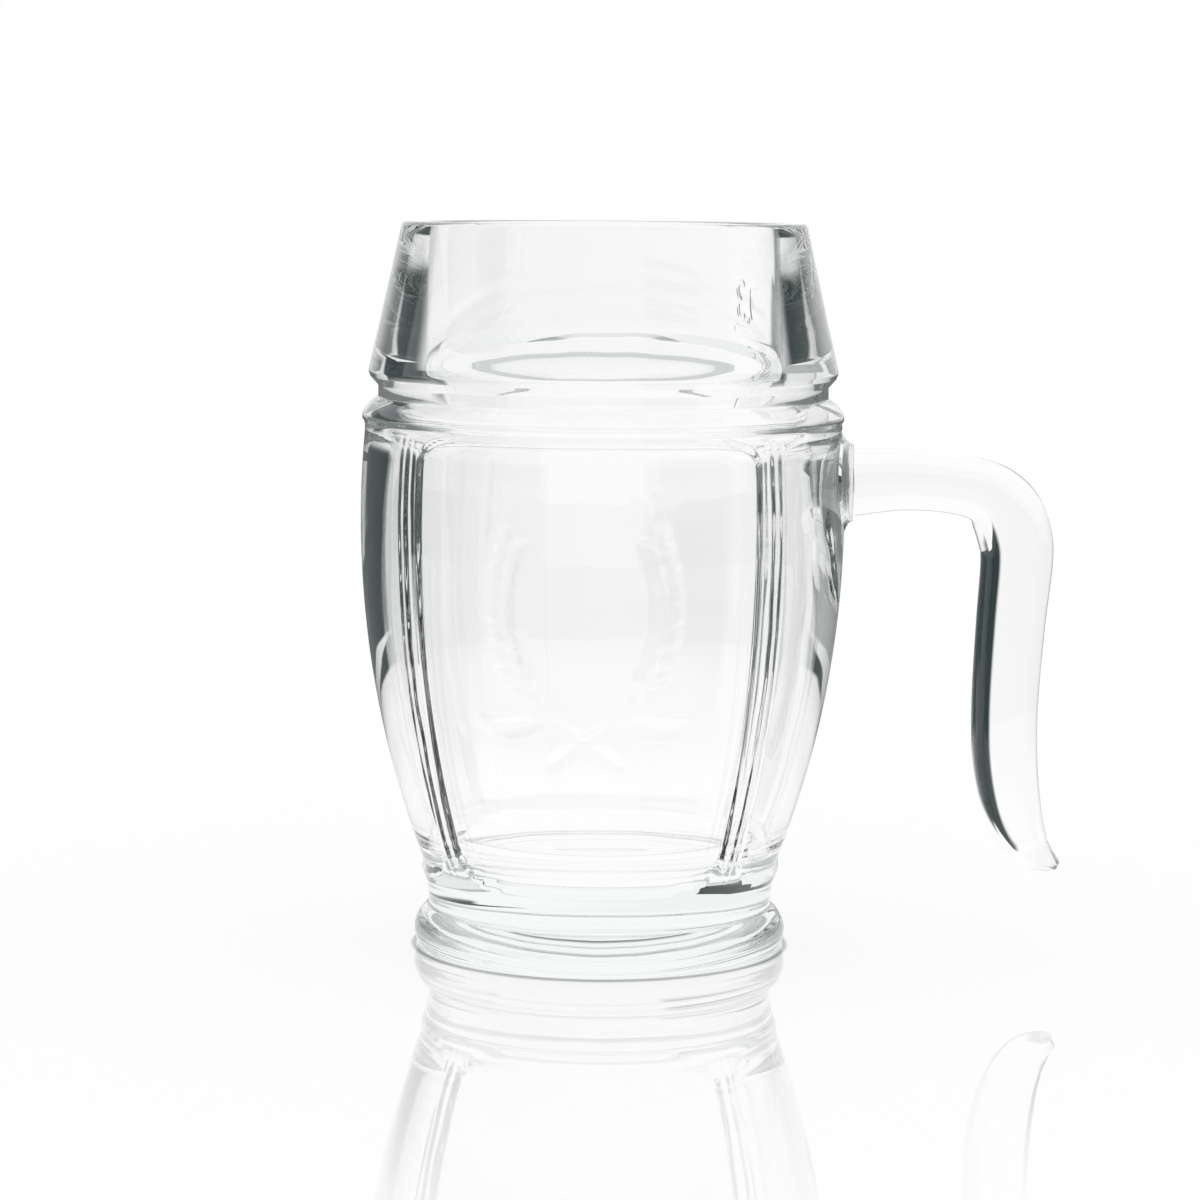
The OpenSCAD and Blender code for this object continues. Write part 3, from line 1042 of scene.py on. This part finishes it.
def tableLight(tree, x, y, away):  # how light the table looks through the glass
    s = studio
    plain, front, thrown, often, oneWall = lightKinds(tree)
    handleX = x - (bar["weldX"] + bar["hookReach"]) * mm
    around = sums("ARCTAN2", handleX, y)
    # Painted shade: beyond the handle, in the black card's bearings, the table is painted dark
    first, last = s["cardBearing"]
    card = largest(between(around, first, last) * oneWall, between(around, s["cardThrough"], last))
    card = card * past(hypot(handleX, y), s["cardNear"])
    eye = lookFrom["height"] * mm / 2  # about the height from which the table is seen through the glass
    far = hypot(away, eye)
    near = within(away, s["nearLit"])
    bearing = sums("ARCTAN2", x, y)
    panels = [between(bearing, *panel) for panel in litPanels]
    clear = largest(oneWall, within(away, s["farLit"]), *panels)
    seen = (1.0 - card) * mixed(near, backdropLevel(x / far, -eye / far), 1.0) * clear
    strip = mixed(past(y, s["stripFront"]), s["front"], within(abs(x), s["strip"]))
    aside = abs(bearing - math.radians(s["lookAlong"])) * math.degrees(1)
    sideways = eased(aside, *s["sideTable"]) * mixed(eased(aside, *s["sideEnd"]), *s["sideLevel"])
    begin, later = s["sweep"]
    sweep = eased(away / mm - (aside * later + begin), *s["sweepSoft"])
    sweep = sweep * mixed(past(away, s["sweepEnd"]), 1.0, above(x, 0.0) * s["sweepRight"])
    lit = mixed(thrown, seen, largest(strip, within(away, s["pool"]), sideways, sweep))
    lit = mixed(front, lit, largest(near, s["front"]))
    return plain, mixed(often, lit, mixed(past(away, s["oftenNear"]), *s["often"]))


def makeTable():
    s = studio
    half = s["tableHalf"]
    corners = [(-half, -half, 0), (half, -half, 0), (half, half, 0), (-half, half, 0)]
    mesh = shapedMesh("table", corners, [(0, 1, 2, 3)])
    table = addPiece("table", mesh)
    material = bpy.data.materials.new("whiteTable")
    material.use_nodes = True
    tree = material.node_tree
    tree.nodes.remove(tree.nodes["Principled BSDF"])
    x, y, z = parted(field(tree, "ShaderNodeTexCoord", output="Object"))
    away = hypot(x, y)
    plain, lit = tableLight(tree, x, y, away)
    glow = field(tree, "ShaderNodeEmission", {"Color": blend(lit, s["dark"], white)})
    # Painted shadow: a thin dark ring is painted into the white table's emission round the foot, narrower
    # beside the mug than in front of it
    ahead = y / away
    wide = mixed(ahead * ahead, *(width * mm for width in s["contactWide"]))
    paintedContactShadow = eased(abs(away - barrel["footRadius"] * mm), wide, 0.0)
    bright = field(tree, "ShaderNodeEmission", {"Color": blend(paintedContactShadow, white, s["dark"])})
    matt = field(tree, "ShaderNodeBsdfDiffuse", {"Color": white})
    floor = field(tree, "ShaderNodeMixShader", {0: s["shadow"], 1: bright, 2: matt})
    mirror = field(tree, "ShaderNodeBsdfAnisotropic", {"Color": white, "Roughness": 0.0})
    beyond = x - smallest(largest(x, 0.0), s["glossAlong"] * mm)
    polish = within(hypot(beyond, y), s["glossFade"]) * s["gloss"]
    polished = field(tree, "ShaderNodeMixShader", {0: polish, 1: floor, 2: mirror})
    shown = field(tree, "ShaderNodeMixShader", {0: plain, 1: glow, 2: polished})
    feed(tree.nodes["Material Output"].inputs["Surface"], shown)
    mesh.materials.append(material)


def makeWorld():
    s = studio
    world = bpy.data.worlds.new("studio")
    world.use_nodes = True
    scene.world = world
    tree = world.node_tree
    plain, front, thrown, often, oneWall = lightKinds(tree)
    x, y, z = parted(field(tree, "ShaderNodeTexCoord", output="Generated"))
    bearing = sums("ARCTAN2", x, y)
    ceiling = higher(z, s["overhead"])
    ahead, *walls = [between(bearing, *panel) for panel in litPanels]
    dim = between(bearing, *s["dimPanel"]) * s["dimLevel"]
    inside = largest(between(bearing, *s["backdrop"]), dim, ceiling, walls[-1])
    card = between(bearing, s["cardAbove"], s["cardBearing"][1]) * higher(z, s["cardTop"])
    seen = (1.0 - card) * backdropLevel(x, z) * largest(oneWall, ahead, ceiling, *walls)
    sides, heights = s["softbox"]
    lamp = between(bearing, *sides) * between(sums("ARCSINE", z), *heights)
    glancing = between(bearing, -s["sideways"], s["sideways"], s["sidewaysSoft"])
    room = largest(lamp, glancing, s["front"], higher(z, s["roomTop"]), *walls)
    lit = mixed(front, mixed(thrown, seen, inside), room)
    late = largest(higher(z, s["oftenTop"]), s["often"][1])
    lit = largest(plain, mixed(often, lit, late))
    feed(tree.nodes["Background"].inputs["Color"], blend(lit, s["dark"], white))


makeTable()
makeWorld()

for piece, node, slot in (
        (mugBody, "mug_body", "pressed_glass"),
        (handle, "handle", "handle_glass"),
        (handleWeld, "handle_weld", "weld_glass")):
    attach(piece, "root")
    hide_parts(node)
